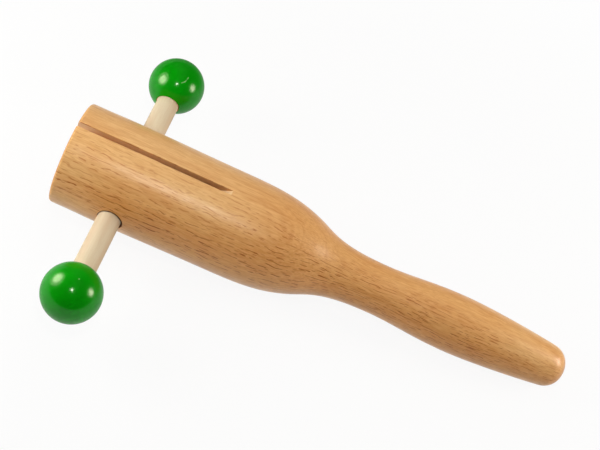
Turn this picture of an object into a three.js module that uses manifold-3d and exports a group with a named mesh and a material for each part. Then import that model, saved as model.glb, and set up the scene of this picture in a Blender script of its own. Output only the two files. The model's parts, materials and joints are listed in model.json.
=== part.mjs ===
// A turned wooden ratchet that lies on its side. Millimetres, +Z up.
// X runs along the turning axis, from the open end of the head to the tip of the handle.
// Y runs along the axle, from the near ball to the far ball. The sound slot is on top.
// The origin is under the middle of the whole instrument, level with the lowest point of the head.

import * as THREE from "three";
import { mergeVertices } from "three/addons/utils/BufferGeometryUtils.js";
import Module from "manifold-3d";

// Turned body: lengths along the axis, one after the other, from the open end face.
const barrelLength = 68.7;
const neckLength = 73.3;
const swellLength = 38.9;
const tailLength = 51.7;

// Turned body: radii.
const headRadius = 22.5;
const bellySwell = 0.28;
const waistRadius = 11.03;
const gripRadius = 13.01;
const tailRadius = 9.49;
const tipFlatRadius = 1.35;
const rimRounding = 1.2;
const boreEdge = 0.6;
const wallThickness = 6;

// Turned body: how its outline bends, as shares of the length or the drop that each bend spans.
const bellyShare = 0.35;
const bellyFullnessShare = 0.45;
const neckTurnShare = 0.545;
const neckDropShare = 0.426;
const shoulderFullnessShare = 0.432;
const shoulderEaseShare = 0.323;
const hollowEaseShare = 0.222;
const hollowFullnessShare = 0.653;
const swellStartShare = 0.369;
const swellEndShare = 0.464;
const tailStartShare = 0.229;
const tailEndShare = 0.305;
const boreEndShare = 0.3;
const neckSteepness = 0.37;
const tailSteepness = 0.135;

// Sound slot: one cut of a saw disc, from the open end, that runs out through the top of the head.
const slotWidth = 2.2;
const slotLength = 68.7;
const sawRadius = 50;
const sawDepth = 12;

// Axle and balls. The axle lies low in its holes by its sag, and the tongue pushes it towards the open end.
// It can float sideways in its holes, and lies a little towards the near ball.
const axlePlace = 26.9;
const axleRadius = 5;
const axleClearance = 0.5;
const axleSag = 0.2;
const axlePush = 0.25;
const axleShift = 2.54;
const ballRadius = 12.5;
const ballReach = 57;
const ballHoleDepth = 13;

// Cog wheel and the pin that locks it to the axle.
const toothCount = 12;
const toothHeight = 3;
const cogWidth = 14;
const cogRoom = 1.6;
const toothTipShare = 0.22;
const toothGapShare = 0.34;
const pinRadius = 1.25;
const pinInset = 0.4;

// Tongue, and the sawn block and wedge that hold its root.
const tongueThickness = 1.4;
const tongueWidth = 14;
const tongueTipThickness = 0.8;
const tongueBevel = 3;
const tongueBite = 0.5;
const blockLength = 14;
const kerfDepth = 11;
const wedgeThick = 1.4;
const wedgeThin = 1;
const wedgeProud = 1;

// Glue lines and cuts.
const glueGap = 0.3;
const overrun = 2;

// Smoothness.
const turnedSides = 48;
const dowelSides = 32;
const ballSides = 28;
const ballRings = 18;
const pinSides = 16;
const longBendSteps = 7;
const shortBendSteps = 4;
const sawSteps = 10;
const quarterTurn = Math.PI / 2;

// Sizes that follow from the ones above.
const bodyLength = barrelLength + neckLength + swellLength + tailLength;
const waistPlace = barrelLength + neckLength;
const gripPlace = waistPlace + swellLength;
const bellyRadius = headRadius + bellySwell;
const tailAngle = Math.atan(tailSteepness);
const tipRounding = (tailRadius - tipFlatRadius) / Math.cos(tailAngle);
const boreRadius = headRadius - wallThickness;
const boreDepth = barrelLength + neckLength * boreEndShare;
const axleHoleRadius = axleRadius + axleClearance;
const axleHalfLength = ballReach - ballRadius + ballHoleDepth - glueGap;
const cogReach = cogWidth / 2 + axleShift;
const cogTipRadius = Math.sqrt((boreRadius - cogRoom) ** 2 - cogReach ** 2);
const cogRootRadius = cogTipRadius - toothHeight;
const pinHalfLength = cogRootRadius - pinInset;
const blockBack = boreDepth - glueGap;
const blockFront = blockBack - blockLength;
const kerfEnd = blockFront + kerfDepth;
const tongueTip = axlePlace + cogTipRadius - tongueBite;
const tongueRoot = kerfEnd - glueGap;
const wedgeBottom = tongueThickness / 2 + glueGap;

// Finishes.
const beech = { color: 0xd9a265, roughness: 0.42, metalness: 0 };
const paleDowel = { color: 0xead4ae, roughness: 0.6, metalness: 0 };
const greenLacquer = { color: 0x06900c, roughness: 0.12, metalness: 0 };
const plainBeech = { color: 0xcf9c66, roughness: 0.65, metalness: 0 };
const springSlat = { color: 0xdcb680, roughness: 0.6, metalness: 0 };
const darkPeg = { color: 0xa87446, roughness: 0.6, metalness: 0 };

const wasm = await Module();
wasm.setup();

// A closed geometry as a solid that can be cut.
function solidOf(geometry) {
  const bare = geometry.clone();
  bare.deleteAttribute("normal");
  bare.deleteAttribute("uv");
  const merged = mergeVertices(bare);
  return new wasm.Manifold(
    new wasm.Mesh({
      numProp: 3,
      vertProperties: merged.attributes.position.array,
      triVerts: new Uint32Array(merged.index.array),
    }),
  );
}

// The geometry that is left of a base after the tools are cut out of it.
function cutAway(base, tools) {
  let solid = solidOf(base);
  for (const tool of tools) {
    solid = solid.subtract(solidOf(tool));
  }
  const mesh = solid.getMesh();
  const geometry = new THREE.BufferGeometry();
  geometry.setAttribute("position", new THREE.BufferAttribute(mesh.vertProperties, mesh.numProp));
  geometry.setIndex(new THREE.BufferAttribute(mesh.triVerts, 1));
  geometry.computeVertexNormals();
  return geometry;
}

// A named mesh with a finish of its own.
function piece(name, geometry, finish) {
  const mesh = new THREE.Mesh(geometry, new THREE.MeshStandardMaterial(finish));
  mesh.name = name;
  return mesh;
}

// A rod along Y, centred where it is put.
function rodAlongY(radius, length, sides) {
  return new THREE.CylinderGeometry(radius, radius, length, sides);
}

// A rod along X, centred where it is put.
function rodAlongX(radius, length, sides) {
  return rodAlongY(radius, length, sides).rotateZ(-quarterTurn);
}

// A slab whose outline lies in the XZ plane, as thick as its width along Y and centred on it.
function slabAcrossY(outline, width, steps) {
  const settings = { depth: width, bevelEnabled: false, curveSegments: steps };
  const slab = new THREE.ExtrudeGeometry(outline, settings);
  slab.translate(0, 0, -width / 2);
  return slab.rotateX(quarterTurn);
}

// A closed outline through corners that are given as pairs.
function outlineOf(corners) {
  return new THREE.Shape(corners.map(([x, z]) => new THREE.Vector2(x, z)));
}

// A smooth bend of the turned outline, between two points [radius, place], with its two guide points.
function bend(start, startGuide, endGuide, end) {
  return new THREE.CubicBezierCurve(
    new THREE.Vector2(...start),
    new THREE.Vector2(...startGuide),
    new THREE.Vector2(...endGuide),
    new THREE.Vector2(...end),
  );
}

// The bends between the rim and the waist.
function headBends() {
  const bellyPlace = barrelLength * bellyShare;
  const riseLength = bellyPlace - rimRounding;
  const fallLength = barrelLength - bellyPlace;
  const riseGuide = riseLength * bellyFullnessShare;
  const fallGuide = fallLength * bellyFullnessShare;
  const turnPlace = barrelLength + neckLength * neckTurnShare;
  const turnRadius = headRadius - (headRadius - waistRadius) * neckDropShare;
  const shoulderGuide = (turnPlace - barrelLength) * shoulderFullnessShare;
  const shoulderEase = (turnPlace - barrelLength) * shoulderEaseShare;
  const hollowEase = (waistPlace - turnPlace) * hollowEaseShare;
  const hollowGuide = (waistPlace - turnPlace) * hollowFullnessShare;
  const belly = [bellyRadius, bellyPlace];
  const shoulder = [headRadius, barrelLength];
  const turn = [turnRadius, turnPlace];
  return [
    bend(
      [headRadius, rimRounding],
      [headRadius, rimRounding + riseGuide],
      [bellyRadius, bellyPlace - riseGuide],
      belly,
    ),
    bend(
      belly,
      [bellyRadius, bellyPlace + fallGuide],
      [headRadius, barrelLength - fallGuide],
      shoulder,
    ),
    bend(
      shoulder,
      [headRadius, barrelLength + shoulderGuide],
      [turnRadius + shoulderEase * neckSteepness, turnPlace - shoulderEase],
      turn,
    ),
    bend(
      turn,
      [turnRadius - hollowEase * neckSteepness, turnPlace + hollowEase],
      [waistRadius, waistPlace - hollowGuide],
      [waistRadius, waistPlace],
    ),
  ];
}

// The bends of the handle, from the waist over the grip to the start of the rounded tip.
function handleBends() {
  const tailPlace = bodyLength - tipRounding * (1 - Math.sin(tailAngle));
  const tailSpan = tailPlace - gripPlace;
  const tailEase = tailSpan * tailEndShare;
  const grip = [gripRadius, gripPlace];
  return [
    bend(
      [waistRadius, waistPlace],
      [waistRadius, waistPlace + swellLength * swellStartShare],
      [gripRadius, gripPlace - swellLength * swellEndShare],
      grip,
    ),
    bend(
      grip,
      [gripRadius, gripPlace + tailSpan * tailStartShare],
      [tailRadius + tailEase * tailSteepness, tailPlace - tailEase],
      [tailRadius, tailPlace],
    ),
  ];
}

// The outline of the turned body, as points of radius and place, from the bottom of the bore to the tip.
function turnedOutline() {
  const rim = new THREE.EllipseCurve(
    headRadius - rimRounding,
    rimRounding,
    rimRounding,
    rimRounding,
    -quarterTurn,
    0,
  );
  const tip = new THREE.EllipseCurve(
    tipFlatRadius,
    bodyLength - tipRounding,
    tipRounding,
    tipRounding,
    tailAngle,
    quarterTurn,
  );
  const points = [
    new THREE.Vector2(0, boreDepth),
    new THREE.Vector2(boreRadius, boreDepth),
    new THREE.Vector2(boreRadius, boreEdge),
    new THREE.Vector2(boreRadius + boreEdge, 0),
    ...rim.getPoints(shortBendSteps),
  ];
  const [rise, fall, ...neck] = headBends();
  for (const curve of [rise, fall]) {
    points.push(...curve.getPoints(shortBendSteps).slice(1));
  }
  for (const curve of [...neck, ...handleBends()]) {
    points.push(...curve.getPoints(longBendSteps).slice(1));
  }
  points.push(...tip.getPoints(longBendSteps).slice(1));
  points.push(new THREE.Vector2(0, bodyLength));
  return points;
}

// The space that the saw disc leaves, deeper than the wall over the bore and rising to the surface at its end.
function soundSlot() {
  const top = headRadius + bellySwell + overrun;
  const floor = headRadius - sawDepth;
  const discHeight = floor + sawRadius;
  const discPlace = slotLength - Math.sqrt(sawRadius ** 2 - (sawRadius - sawDepth) ** 2);
  const outline = new THREE.Shape();
  outline.moveTo(-overrun, top);
  outline.lineTo(-overrun, floor);
  outline.lineTo(discPlace, floor);
  outline.absarc(
    discPlace,
    discHeight,
    sawRadius,
    -quarterTurn,
    Math.asin((top - discHeight) / sawRadius),
    false,
  );
  outline.closePath();
  return slabAcrossY(outline, slotWidth, sawSteps);
}

// The one turned piece: hollow head, neck and handle.
function turnedBody() {
  const turned = new THREE.LatheGeometry(turnedOutline(), turnedSides).rotateZ(-quarterTurn);
  const holeLength = (bellyRadius + overrun) * 2;
  const crossHoles = rodAlongY(axleHoleRadius, holeLength, dowelSides);
  crossHoles.translate(axlePlace + axlePush, 0, axleSag);
  return cutAway(turned, [crossHoles, soundSlot()]);
}

// The hole for the locking pin, through the cog wheel and the axle alike.
function pinHole() {
  return rodAlongX(pinRadius + glueGap, (cogTipRadius + overrun) * 2, pinSides);
}

// The dowel that carries the cog wheel and the balls.
function axle() {
  return cutAway(rodAlongY(axleRadius, axleHalfLength * 2, dowelSides), [pinHole()]);
}

// A ball with a blind hole for the end of the axle. side is 1 for the far ball and -1 for the near one.
function ball(side) {
  const holeLength = ballHoleDepth + overrun;
  const holeMiddle = ballReach - ballRadius - overrun + holeLength / 2;
  const round = new THREE.SphereGeometry(ballRadius, ballSides, ballRings);
  const hole = rodAlongY(axleRadius + glueGap, holeLength, dowelSides);
  round.translate(0, side * ballReach, 0);
  hole.translate(0, side * holeMiddle, 0);
  return cutAway(round, [hole]);
}

// The toothed wheel. The middle of a gap between two teeth points along +X, at the tongue.
function cogWheel() {
  const pitch = (Math.PI * 2) / toothCount;
  const halfGap = (pitch * toothGapShare) / 2;
  const halfTip = (pitch * toothTipShare) / 2;
  const corners = [];
  for (let tooth = 0; tooth < toothCount; tooth += 1) {
    const gapAngle = pitch * tooth;
    const tipAngle = gapAngle + pitch / 2;
    const turns = [
      [cogRootRadius, gapAngle - halfGap],
      [cogRootRadius, gapAngle + halfGap],
      [cogTipRadius, tipAngle - halfTip],
      [cogTipRadius, tipAngle + halfTip],
    ];
    for (const [radius, angle] of turns) {
      corners.push([radius * Math.cos(angle), radius * Math.sin(angle)]);
    }
  }
  const wheel = slabAcrossY(outlineOf(corners), cogWidth);
  const axleBore = rodAlongY(axleRadius + glueGap, cogWidth + overrun * 2, dowelSides);
  return cutAway(wheel, [axleBore, pinHole()]);
}

// The springy slat, flat across the axle's plane, with its tip bevelled on both faces.
function tongue() {
  const half = tongueThickness / 2;
  const halfTip = tongueTipThickness / 2;
  const corners = [
    [tongueTip, -halfTip],
    [tongueTip + tongueBevel, -half],
    [tongueRoot, -half],
    [tongueRoot, half],
    [tongueTip + tongueBevel, half],
    [tongueTip, halfTip],
  ];
  return slabAcrossY(outlineOf(corners), tongueWidth);
}

// The round plug in the bottom of the bore, sawn across for the tongue and its wedge.
function tongueBlock() {
  const kerfBottom = -tongueThickness / 2 - glueGap;
  const thickTop = wedgeBottom + wedgeThick + glueGap;
  const thinTop = wedgeBottom + wedgeThin + glueGap;
  const radius = boreRadius - glueGap;
  const plug = rodAlongX(radius, blockLength, turnedSides).translate(blockFront + blockLength / 2, 0, 0);
  const corners = [
    [blockFront - overrun, kerfBottom],
    [kerfEnd, kerfBottom],
    [kerfEnd, thinTop],
    [blockFront, thickTop],
    [blockFront - overrun, thickTop],
  ];
  return cutAway(plug, [slabAcrossY(outlineOf(corners), (radius + overrun) * 2)]);
}

// The wedge that jams the tongue's root in the saw cut, and stands a little proud of the block.
function tongueWedge() {
  const corners = [
    [blockFront - wedgeProud, wedgeBottom],
    [kerfEnd - glueGap, wedgeBottom],
    [kerfEnd - glueGap, wedgeBottom + wedgeThin],
    [blockFront, wedgeBottom + wedgeThick],
    [blockFront - wedgeProud, wedgeBottom + wedgeThick],
  ];
  return slabAcrossY(outlineOf(corners), tongueWidth);
}

// Everything that stays still with the body, measured from the middle of the open end face.
const fixedPieces = new THREE.Group();
fixedPieces.add(
  piece("turned_body", turnedBody(), beech),
  piece("tongue", tongue(), springSlat),
  piece("tongue_block", tongueBlock(), plainBeech),
  piece("tongue_wedge", tongueWedge(), darkPeg),
);
fixedPieces.position.set(-bodyLength / 2, axleShift, bellyRadius);

// Everything that turns, measured from the middle of the axle.
const turningPieces = new THREE.Group();
turningPieces.add(
  piece("axle", axle(), paleDowel),
  piece("near_ball", ball(-1), greenLacquer),
  piece("far_ball", ball(1), greenLacquer),
  piece("cog_wheel", cogWheel(), plainBeech),
  piece("cog_pin", rodAlongX(pinRadius, pinHalfLength * 2, pinSides), darkPeg),
);
turningPieces.position.set(axlePlace - bodyLength / 2, 0, bellyRadius);

const ratchet = new THREE.Group();
ratchet.add(fixedPieces, turningPieces);

export default ratchet;
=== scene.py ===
"""The looks of a turned wooden ratchet: a beech body, a pale dowel, two green balls and the works inside.

Everything is in metres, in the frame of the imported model. X runs along the turning axis, from the open end
of the head to the tip of the handle. Y runs along the axle, from the near ball to the far ball. Z points up
through the sound slot.
"""

import json
import math

import bmesh
import bpy
import numpy as np
from mathutils import Matrix, Vector


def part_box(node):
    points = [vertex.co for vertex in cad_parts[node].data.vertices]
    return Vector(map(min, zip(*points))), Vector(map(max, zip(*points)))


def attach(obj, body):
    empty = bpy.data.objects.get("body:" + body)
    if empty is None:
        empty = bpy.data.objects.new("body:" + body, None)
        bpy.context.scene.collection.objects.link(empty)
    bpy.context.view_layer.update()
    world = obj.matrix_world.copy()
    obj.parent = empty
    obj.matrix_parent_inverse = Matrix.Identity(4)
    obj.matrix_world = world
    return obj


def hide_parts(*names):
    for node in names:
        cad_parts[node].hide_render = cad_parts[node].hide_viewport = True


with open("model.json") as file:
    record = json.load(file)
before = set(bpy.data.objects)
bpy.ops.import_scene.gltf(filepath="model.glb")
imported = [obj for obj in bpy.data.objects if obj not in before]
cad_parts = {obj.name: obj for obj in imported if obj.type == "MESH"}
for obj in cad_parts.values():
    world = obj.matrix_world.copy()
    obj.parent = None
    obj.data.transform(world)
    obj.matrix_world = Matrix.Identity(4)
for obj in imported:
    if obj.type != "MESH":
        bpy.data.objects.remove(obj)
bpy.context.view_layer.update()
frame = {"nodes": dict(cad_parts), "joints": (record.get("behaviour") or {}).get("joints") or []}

MM = 0.001
QUARTER_TURN = math.radians(90)

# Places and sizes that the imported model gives.
body_low, body_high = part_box("turned_body")
mouth_x = body_low.x
tip_x = body_high.x
body_radius = (body_high.y - body_low.y) / 2
axis_y = (body_low.y + body_high.y) / 2
axis_z = body_low.z + body_radius
body_middle = Vector((0, axis_y, axis_z))
axle_x, axle_y, axle_z = frame["joints"][0]["pos_m"]
axle_middle = Vector((axle_x, axle_y, axle_z))
axle_low, axle_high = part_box("axle")
axle_radius = (axle_high.x - axle_low.x) / 2
axle_half = (axle_high.y - axle_low.y) / 2
ball_low, ball_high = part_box("near_ball")
ball_radius = (ball_high.x - ball_low.x) / 2
ball_reach = axle_y - ball_low.y - ball_radius

# The cuts in the head. The cutters overrun its surface a little, and the easing of the slot's edges runs
# level over the rim at the mouth. The axle sags in its holes, and is pushed towards the mouth in them.
SLOT_WIDTH = 2.2 * MM
SLOT_LENGTH = 68.7 * MM
SAW_RADIUS = 50 * MM
SAW_DEPTH = 12 * MM
SAW_OVERRUN = 2.0 * MM
AXLE_CLEARANCE = 0.5 * MM
AXLE_SAG = 0.2 * MM
AXLE_PUSH = 0.25 * MM
EASED_EDGE = 0.25 * MM
EDGE_OVERRUN = 1.0 * MM
RIM_LENGTH = 1.0 * MM

# How the bore's outline is told from the outer one: it lies inside this share of the body's radius, and
# within this length of the bore's own radius and of the back of the tongue's block.
BORE_SHARE = 0.8
BORE_LOOK = 1.0 * MM

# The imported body's corners stand out a little. This share of its radius makes a true round that is, on the
# whole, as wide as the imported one.
ROUND_SHARE = 0.9985

# The balls' holes, the dowel's chamfered ends and the eased edges of the works.
BALL_HOLE_DEPTH = 13 * MM
BALL_HOLE_CLEARANCE = 0.06 * MM
BALL_HOLE_LIP = 0.35 * MM
DOWEL_CHAMFER = 0.6 * MM
COG_EDGE = 0.35 * MM
BLOCK_EDGE = 0.3 * MM
PIN_EDGE = 0.15 * MM
SLAT_EDGE = 0.12 * MM

# Fineness of the meshes. Points less than the nudge apart count as one, and places are read from the packed
# model to so many digits.
NUDGE = 0.002 * MM
DIGITS = 7
BODY_SIDES = 192
BODY_STEP = 1.1 * MM
LONG_STEP = 3 * BODY_STEP
HOLE_SIDES = 72
DOWEL_SIDES = 96
BALL_SIDES = 128
BALL_RINGS = 72
EDGE_STEPS = 4
SAW_STEPS = 40
EASED_SEGMENTS = 3
SHARP_ANGLE = math.radians(32)
FLAT_ANGLE = math.radians(0.5)

# Ways that sides of the beech face, each as a lean from Z towards -Y: out through its growth rings, where
# its rays are clearest, where light is painted on most, and its low side, where a little light from the
# floor is painted on too.
RING_LEAN = math.radians(17)
RAY_LEAN = math.radians(52)
PAINTED_LIGHT_LEAN = math.radians(-15)
FLOOR_LIGHT_LEAN = math.radians(115)

# Noises in the wood. Each holds the lengths of its spots along the grain, across it and through the rings,
# and then its detail and its roughness.
BEND = (30 * MM, 12 * MM, 12 * MM, 1.0, 0.5)
DRIFT = (50 * MM, 10 * MM, 10 * MM, 3.0, 0.55)
STREAK = (22 * MM, 1.1 * MM, 1.1 * MM, 2.0, 0.5)
FIBRE = (6 * MM, 0.5 * MM, 0.5 * MM, 2.0, 0.65)
CROWD = (24 * MM, 6 * MM, 6 * MM, 2.0, 0.5)
SLOW_WAVE = (16 * MM, 5 * MM, 5 * MM, 1.0, 0.5)
QUICK_WAVE = (4 * MM, 2 * MM, 2 * MM, 0.0, 0.5)
ROW_BREAK = (3.6 * MM, 1.1 * MM, 1.1 * MM, 1.0, 0.5)
SLOW_WANDER = (55 * MM, 13 * MM, 13 * MM, 1.0, 0.5)
QUICK_WANDER = (12 * MM, 5 * MM, 5 * MM, 2.0, 0.5)
DOWEL_DRIFT = (30 * MM, 3 * MM, 3 * MM, 2.0, 0.5)
DOWEL_FIBRE = (7 * MM, 0.35 * MM, 0.35 * MM, 3.0, 0.6)
PLAIN_DRIFT = (20 * MM, 5 * MM, 5 * MM, 3.0, 0.5)
PLAIN_FIBRE = (6 * MM, 0.4 * MM, 0.4 * MM, 3.0, 0.6)

# Flecks, at most one in each cell. Each holds the cell's lengths along the grain, across it and through the
# rings, and then how much of the cell a fleck takes up and how many of the cells have one, as shares.
LONG_FLECK_SHARES = (8.0 * MM, 0.7 * MM, 0.7 * MM, 0.36, 0.22)
TINY_FLECK_SHARES = (3.6 * MM, 0.55 * MM, 0.55 * MM, 0.38, 0.3)
PLAIN_FLECK_SHARES = (5 * MM, 0.7 * MM, 1.1 * MM, 0.3, 0.6)

# A fleck is solid in its core, and a share of the flecks have their full strength.
FLECK_CORE_SHARE = 0.72
FLECK_FULL_SHARE = 1 / 3

# Rays: how many rows of them there are around the body, how many rows wide those wave, and the radius that
# rays are drawn at, which shrinks from the body's own to a share of it between two lengths from the mouth.
RAY_ROWS = 60
SLOW_WAVE_ROWS = 1.6
QUICK_WAVE_ROWS = 0.5
WIDE_END = 30 * MM
NARROW_START = 160 * MM
NARROW_SHARE = 0.55

# How far fibre and rays bend, and growth rings wander, from one side to the other.
BEND_REACH = 2.0 * MM
SLOW_WANDER_REACH = 3.0 * MM
QUICK_WANDER_REACH = 1.6 * MM

# Growth rings: their spacing and the depth of their pith. They are spaced unevenly by a noise, of so many
# spots in each ring and such a detail, that moves a line by so many rings at most.
RING_SPACING = 2.9 * MM
PITH_DEPTH = 78 * MM
UNEVEN = (0.7, 1.0)
UNEVEN_RINGS = 1.4

# Ramps of the beech. Each holds two ends of what it reads, and then the share that it gives at each end.
ROW_LINE_SHARES = (0.05, 0.14, 1.0, 0.0)
ROW_BREAK_SHARES = (0.44, 0.6, 0.0, 1.0)
CROWD_SHARES = (0.35, 0.6, 0.6, 1.0)
CLEAR_SHARES = (0.55, 0.95, 0.3, 1.0)
YEAR_RISE_SHARES = (0.45, 0.93, 0.0, 0.22)
YEAR_LINE_SHARES = (0.80, 0.92, 0.0, 0.28)
YEAR_FALL_SHARES = (0.95, 1.0, 1.0, 0.0)
# The next two paint light on the upper side, and light from the floor on the low side.
PAINTED_UPPER_LIGHT_SHARES = (0.15, 0.9, 0.0, 1.0)
PAINTED_FLOOR_LIGHT_SHARES = (0.7, 1.0, 0.0, 0.4)
DRIFT_SHARES = (0.28, 0.74, 0.1, 0.9)
STREAK_SHARES = (0.40, 0.66, 0.0, 0.17)
DARK_FIBRE_SHARES = (0.40, 0.72, 0.0, 0.3)
LIGHT_FIBRE_SHARES = (0.3, 0.5, 0.15, 0.0)
# Rays fade where light is painted.
FAINT_UNDER_PAINTED_LIGHT_SHARES = (0.2, 1.0, 1.0, 0.62)
END_GRAIN_SHARES = (0.5, 0.95, 0.0, 1.0)
MOUTH_FACE_SHARES = (0.15, 0.5, 0.0, 1.0)
GLOSS_SHARES = (0.3, 0.7, 0.28, 0.38)

# Ramps along the beech, of the same form. They read the length from the mouth or from the tip.
# The next three paint light: on the upper side of the head, a painted reflection near the mouth and a
# painted highlight near the tip.
PAINTED_HEAD_LIGHT_SHARES = (60 * MM, 110 * MM, 1.0, 0.45)
PAINTED_MOUTH_REFLECTION_SHARES = (4 * MM, 30 * MM, 0.45, 0.0)
PAINTED_TIP_HIGHLIGHT_SHARES = (15 * MM, 45 * MM, 0.5, 0.0)
# The next two paint light near the slot's mouth and shade towards its end.
SLOT_PAINTED_LIGHT_SHARES = (2 * MM, 12 * MM, 0.0, 1.0)
SLOT_PAINTED_SHADE_SHARES = (20 * MM, SLOT_LENGTH, 0.0, 1.0)

# How strongly each thing shows in the beech, in its colour, its gloss and its relief.
LONG_FLECK_SHARE = 0.7
TINY_FLECK_SHARE = 0.6
# How much of the painted highlight near the tip reaches all round it.
TIP_HIGHLIGHT_ALL_ROUND_SHARE = 0.6
YEAR_SHARE = 0.38
END_GRAIN_SHARE = 0.6
RAW_SHARE = 0.85
# How strongly shade is painted in the axle's holes.
HOLE_SHADE_SHARE = 0.8
# How strongly light is painted on the run-out.
RUN_OUT_LIGHT_SHARE = 0.8
CUT_ROUGHNESS = 0.65
FIBRE_RELIEF_SHARE = 0.5
RAY_RELIEF_SHARE = 0.5
STREAK_RELIEF_SHARE = 0.8
BEECH_RELIEF = 0.035 * MM

# Fades at edges: of the bore, of the slot's sides and end, of the head's skin, of the run-out's sides, end
# and foot, and of the axle's holes. Each holds how far outside the edge the change starts and ends.
BORE_FADE = (0.0, EASED_EDGE)
SLOT_FADE = (0.03 * MM, 0.13 * MM)
SLOT_END_FADE = (-3.0 * MM, -2.0 * MM)
SKIN_FADE = (-0.9 * MM, -0.5 * MM)
RUN_OUT_FADE = (-0.15 * MM, -0.02 * MM)
RUN_OUT_END_FADE = (-0.1 * MM, 0.1 * MM)
RUN_OUT_FOOT_FADE = (0.5 * MM, 1.0 * MM)
HOLE_FADE = (0.05 * MM, 0.2 * MM)

# Colours of the beech, as a picture shows them, from 0 to 255. The paler ones of the warm and the deep tone
# are painted light, for the sides that face the lamps and the floor and for the ends, and the second colour
# of the rays is theirs under that painted light.
WARM = (230, 170, 105)
WARM_PAINTED_LIT = (236, 191, 131)
DEEP = (219, 152, 86)
DEEP_PAINTED_LIT = (230, 176, 114)
STREAK_COLOUR = (206, 134, 60)
DARK_FIBRE = (190, 114, 38)
LIGHT_FIBRE = (255, 214, 160)
YEAR_LINE = (188, 112, 44)
RAY = (158, 78, 18)
RAY_PAINTED_LIT = (182, 92, 22)
END_GRAIN = (196, 138, 88)
# The slot's wood: painted light at its mouth, then plain, then painted shade towards its end.
SAWN_PAINTED_LIT = (250, 218, 180)
SAWN = (226, 178, 130)
SAWN_PAINTED_SHADE = (200, 154, 108)
BORED = (220, 172, 124)
# Painted shade in the axle's holes.
HOLE_PAINTED_SHADE = (104, 44, 18)
# Painted light on the run-out at the slot's end.
RUN_OUT_PAINTED_LIGHT = (242, 210, 164)

# The dowel: its colours, its ramps, and the ring of painted shade where it runs in each wall.
BIRCH = (222, 207, 180)
BIRCH_WARM = (217, 194, 164)
BIRCH_FIBRE = (208, 178, 144)
DOWEL_PAINTED_SHADE = (96, 52, 26)
BIRCH_DRIFT_SHARES = (0.3, 0.7, 0.0, 1.0)
BIRCH_FIBRE_SHARES = (0.4, 0.75, 0.0, 0.3)
DOWEL_SHADE_SHARE = 0.85
DOWEL_SHADE_FADE = (-0.5 * MM, 0.5 * MM)
BIRCH_RELIEF = 0.02 * MM

# The lacquer: its colours, its ramps, its noises with their spots in a metre and their detail, and the share
# of the hole's lip that is bare.
GREEN = (0, 147, 2)
GREEN_DEEP = (0, 140, 1)
GREEN_TINT = (0.02, 1.0, 0.05, 1.0)
BARE_LIP = (205, 130, 70)
SCUFF_GLINT = (190, 226, 170)
CLOUD_SHARES = (0.35, 0.7, 0.0, 1.0)
WORN_SHARES = (0.3, 0.6, 0.1, 0.45)
PEEL_SHARES = (0.3, 0.7, 0.42, 0.48)
CLOUD = (160.0, 3.0)
WORN = (1100.0, 1.0)
PEEL = (420.0, 2.0)
LIP_SHARE = 0.5
LIP_FADE = (0.0, 0.15 * MM)
PEEL_RELIEF = 0.01 * MM

# Scuffs in the lacquer, partly wear and partly painted glints: they are painted pale as the glints that they
# catch. Each holds its ball, -1 for the near one and 1 for the far one, and the ways from the ball's middle
# to the scuff's two ends.
SCUFFS = (
    (-1, (1.1, 0.8, 12.4), (1.3, 0.9, 12.4)),
    (1, (2.2, -5.4, 11.0), (3.3, -4.4, 11.2)),
    (1, (3.3, -4.4, 11.2), (3.9, -1.9, 11.7)),
)
SCUFF_RADIUS = 0.32 * MM
SCUFF_CORE_SHARE = 0.2

# Plain woods of the works. Each holds a pale colour, a warm one and that of its flecks.
PLAIN_BEECH = ((226, 182, 126), (198, 146, 92), (140, 90, 50))
PEG_WOOD = ((170, 116, 70), (140, 90, 52), (90, 55, 30))
SLAT_WOOD = ((232, 196, 146), (214, 172, 118), (160, 110, 66))
PLAIN_DRIFT_SHARES = (0.3, 0.7, 0.0, 1.0)
PLAIN_FIBRE_SHARES = (0.35, 0.75, 0.0, 0.4)
PLAIN_FLECK_SHARE = 0.6
PLAIN_RELIEF = 0.04 * MM

# The floor: its slope, which lets the head and the handle both lie on it, its size and its colour. How white
# it is to the camera grows with the distance from its middle, and how dim it is in a gloss grows along Y.
FLOOR_PITCH = math.radians(5.06)
FLOOR_RADIUS = 0.9
FLOOR_SIDES = 96
FLOOR_GREY = (0.8, 0.8, 0.8, 1)
WHITE = (1, 1, 1, 1)
FLOOR_WHITE_SHARES = (0.12, 0.34, 0.92, 1.0)
FLOOR_DIM_SHARES = (0.04, 0.22, 0.0, 0.85)

# The surround: its light low down and overhead, and how high up the one turns into the other. In a gloss it
# is white at the horizon and nearly dark above it.
WALL_LIGHT = 0.25
CEILING_LIGHT = 0.08
OVERHEAD_SHARES = (0.30, 0.75, 0.0, 1.0)
GLOSS_RISE_SHARES = (0.0, 0.04, 1.0, 0.04)

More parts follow.
